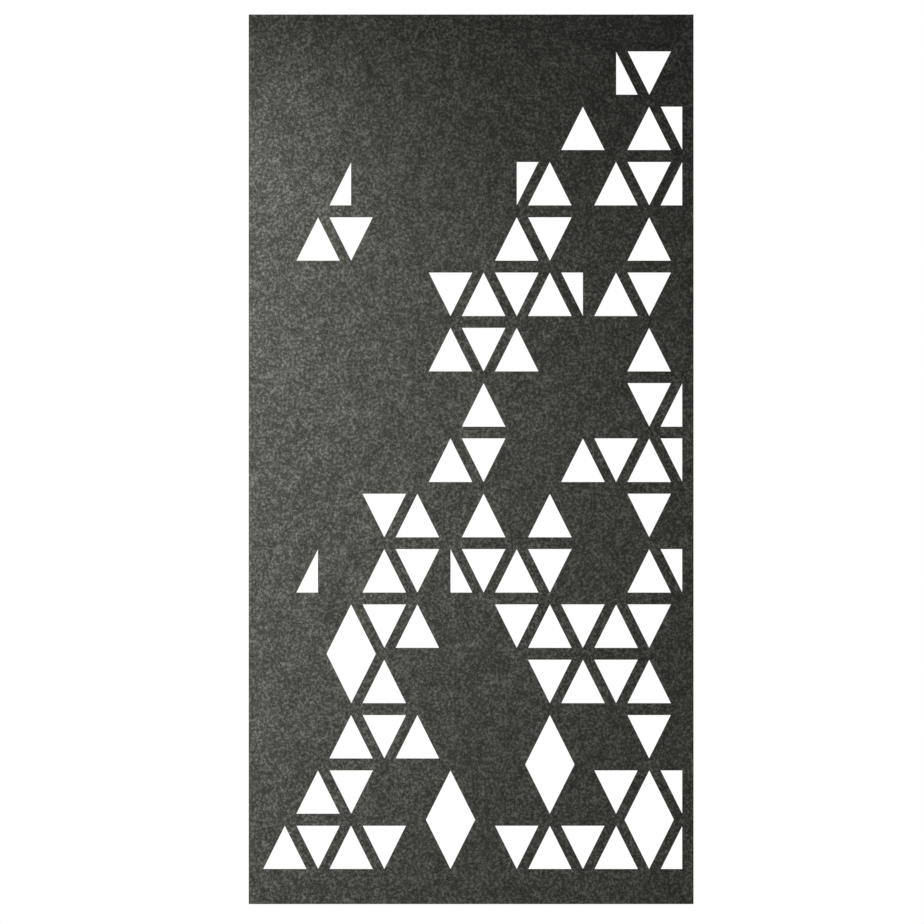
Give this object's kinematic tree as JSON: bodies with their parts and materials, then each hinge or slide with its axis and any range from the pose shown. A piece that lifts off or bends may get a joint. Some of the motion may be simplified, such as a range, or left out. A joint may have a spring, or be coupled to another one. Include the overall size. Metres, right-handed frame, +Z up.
{
  "type": "hanging room divider",
  "caption": "Tall flat felt room divider cut through with triangular openings, hung by threaded nuts that slide in a rail let into its top edge.",
  "frame": {"origin": "middle of the top edge, level with the mouths of the hanging threads and half way between them", "axes": "+X to the right seen from the front, front face towards -Y, +Z up along the panel's height"},
  "size_m": [1.2, 0.0242, 2.4],
  "materials": {
    "felt": "needled polyester felt, charcoal with paler flecks",
    "anodised_rail": "satin black anodised",
    "plated_steel": "zinc plated",
    "spring_steel": "tempered strip, bright",
    "black_plastic": "fine moulded texture"
  },
  "bodies": {
    "panel": {"front_felt_leaf": "felt", "back_felt_leaf": "felt", "top_rail": "anodised_rail", "rail_cross_pins": "plated_steel", "left_end_cap": "black_plastic", "right_end_cap": "black_plastic"},
    "left_nut": {"left_hanging_nut": "plated_steel", "left_nut_spring": "spring_steel"},
    "right_nut": {"right_hanging_nut": "plated_steel", "right_nut_spring": "spring_steel"}
  },
  "joints": [
    {"name": "left_nut_slide", "type": "slide", "parent": "panel", "child": "left_nut", "axis": [1, 0, 0], "range_m": [-0.164, 0.376]},
    {"name": "right_nut_slide", "type": "slide", "parent": "panel", "child": "right_nut", "axis": [-1, 0, 0], "range_m": [-0.164, 0.376]}
  ]
}
